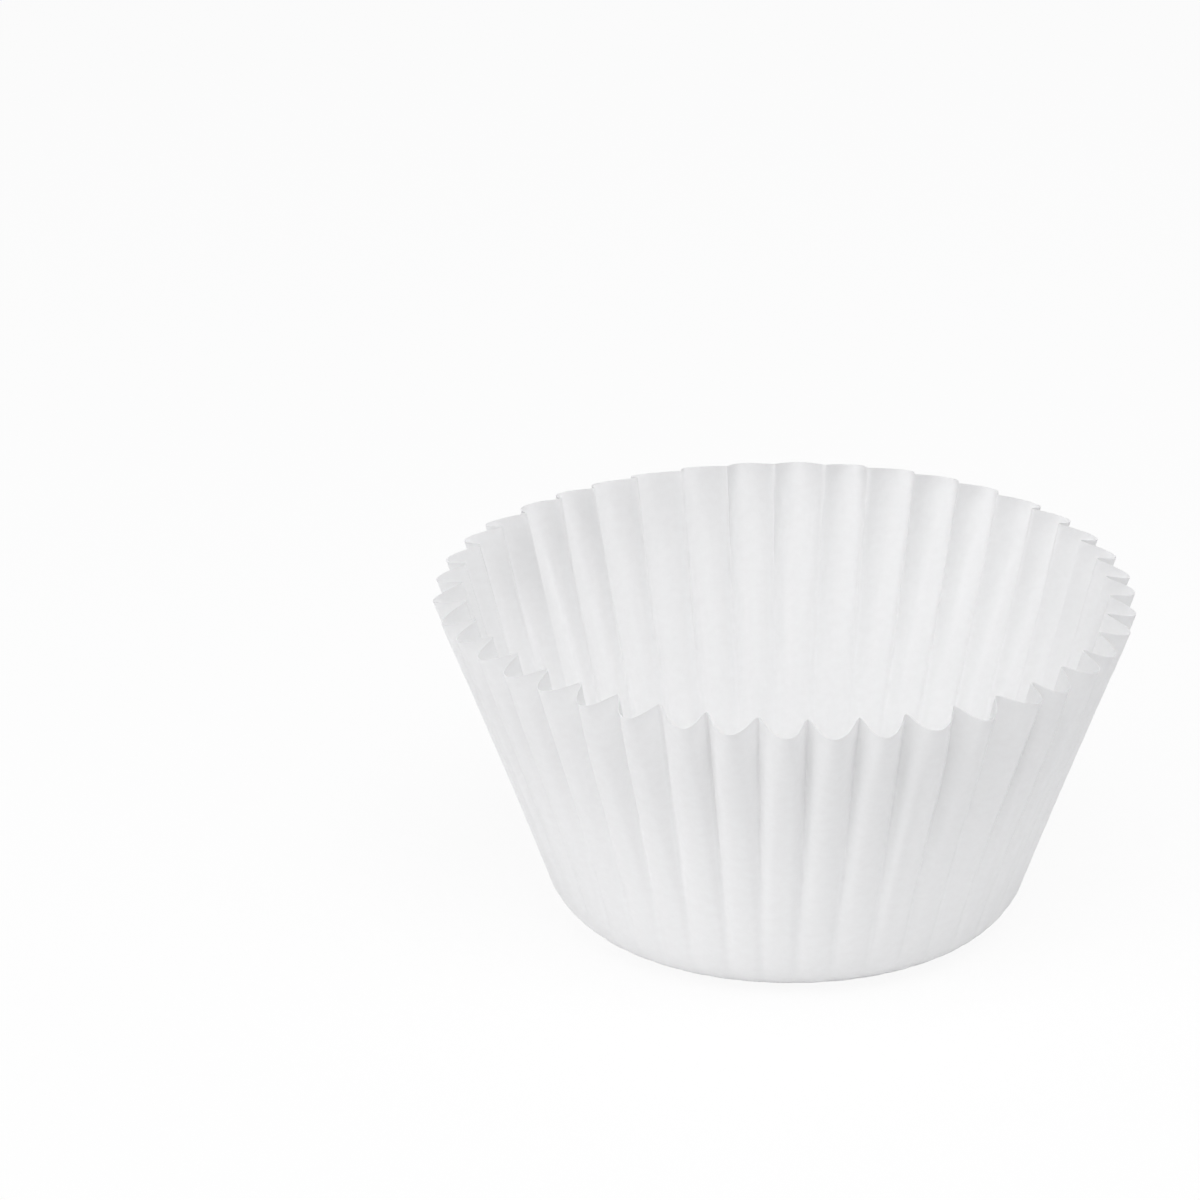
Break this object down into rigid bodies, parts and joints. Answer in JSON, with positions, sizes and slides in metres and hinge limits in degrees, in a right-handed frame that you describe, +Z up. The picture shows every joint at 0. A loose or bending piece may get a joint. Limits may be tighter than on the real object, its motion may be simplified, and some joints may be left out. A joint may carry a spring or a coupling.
{
  "type": "cupcake liner",
  "caption": "Fluted paper baking cup with a flat round base, a rounded corner and a flared wavy wall, open at the top, that holds batter in a muffin tin.",
  "frame": {"origin": "centre of the underside of the flat base, on the surface the liner stands on", "axes": "+Z up out of the open mouth, along the axis of the cup; one inner crease of the flutes lies on +X"},
  "size_m": [0.0818, 0.082, 0.0401],
  "materials": {
    "paper": "matt white greaseproof baking paper"
  },
  "bodies": {
    "root": {"liner": "paper"}
  },
  "joints": []
}
